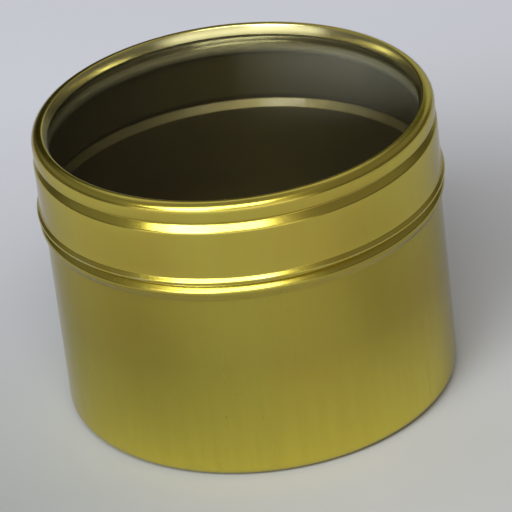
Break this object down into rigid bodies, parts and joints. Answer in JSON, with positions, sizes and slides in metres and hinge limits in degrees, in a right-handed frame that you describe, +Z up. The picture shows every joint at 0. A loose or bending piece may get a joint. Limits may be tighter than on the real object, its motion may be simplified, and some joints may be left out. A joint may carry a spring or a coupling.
{
  "type": "window lid tin",
  "caption": "Round straight-sided tin with a slip lid whose rim holds a clear window, for small dry goods, balm or a candle.",
  "frame": {"origin": "centre of the foot ring, on the surface that the tin stands on", "axes": "+Z up along the tin's axis; X and Y are free, because every piece is a surface of revolution"},
  "size_m": [0.065, 0.065, 0.0486],
  "materials": {
    "gold_lacquer": "satin gold lacquer on tinplate",
    "clear_window": "clear gloss sheet"
  },
  "bodies": {
    "tin": {"tin_body": "gold_lacquer"},
    "window": {"window_disc": "clear_window"},
    "lid": {"lid_ring": "gold_lacquer"}
  },
  "joints": [
    {"name": "lid_lift", "type": "slide", "parent": "tin", "child": "window", "axis": [0, 0, 1], "range_m": [0, 0.06]},
    {"name": "lid_turn", "type": "hinge", "parent": "window", "child": "lid", "pos_m": [0, 0, 0.0463], "axis": [0, 0, 1], "continuous": true}
  ]
}
